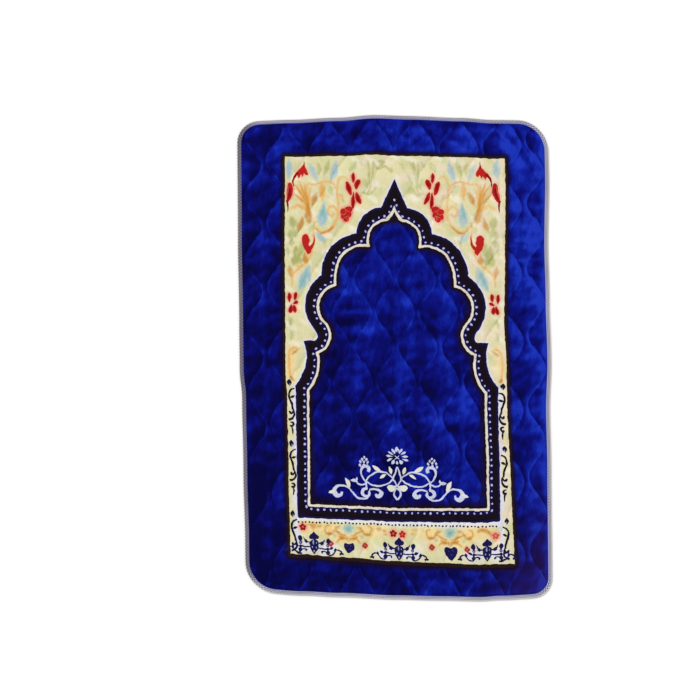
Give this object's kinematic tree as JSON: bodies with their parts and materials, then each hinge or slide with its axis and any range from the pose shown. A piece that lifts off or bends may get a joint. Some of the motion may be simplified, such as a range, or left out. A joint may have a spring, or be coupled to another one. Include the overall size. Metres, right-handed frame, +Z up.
{
  "type": "prayer rug",
  "caption": "Padded prayer rug lying flat, with a quilted blue plush face, a printed arch panel and a braid sewn round its rounded rim.",
  "frame": {"origin": "middle of the rug's bounding box, on the floor that it lies on", "axes": "+X across the rug to the right as the picture shows it, +Y along its length towards the tip of the printed arch, +Z up out of the pile"},
  "size_m": [0.7138, 1.1002, 0.01],
  "materials": {
    "plush_pile": "short brushed plush pile, royal blue, with a printed cream panel",
    "braid_yarn": "braided yarn, pale grey with darker specks"
  },
  "bodies": {
    "root": {"quilted_pad": "plush_pile", "edge_braid": "braid_yarn"}
  },
  "joints": []
}
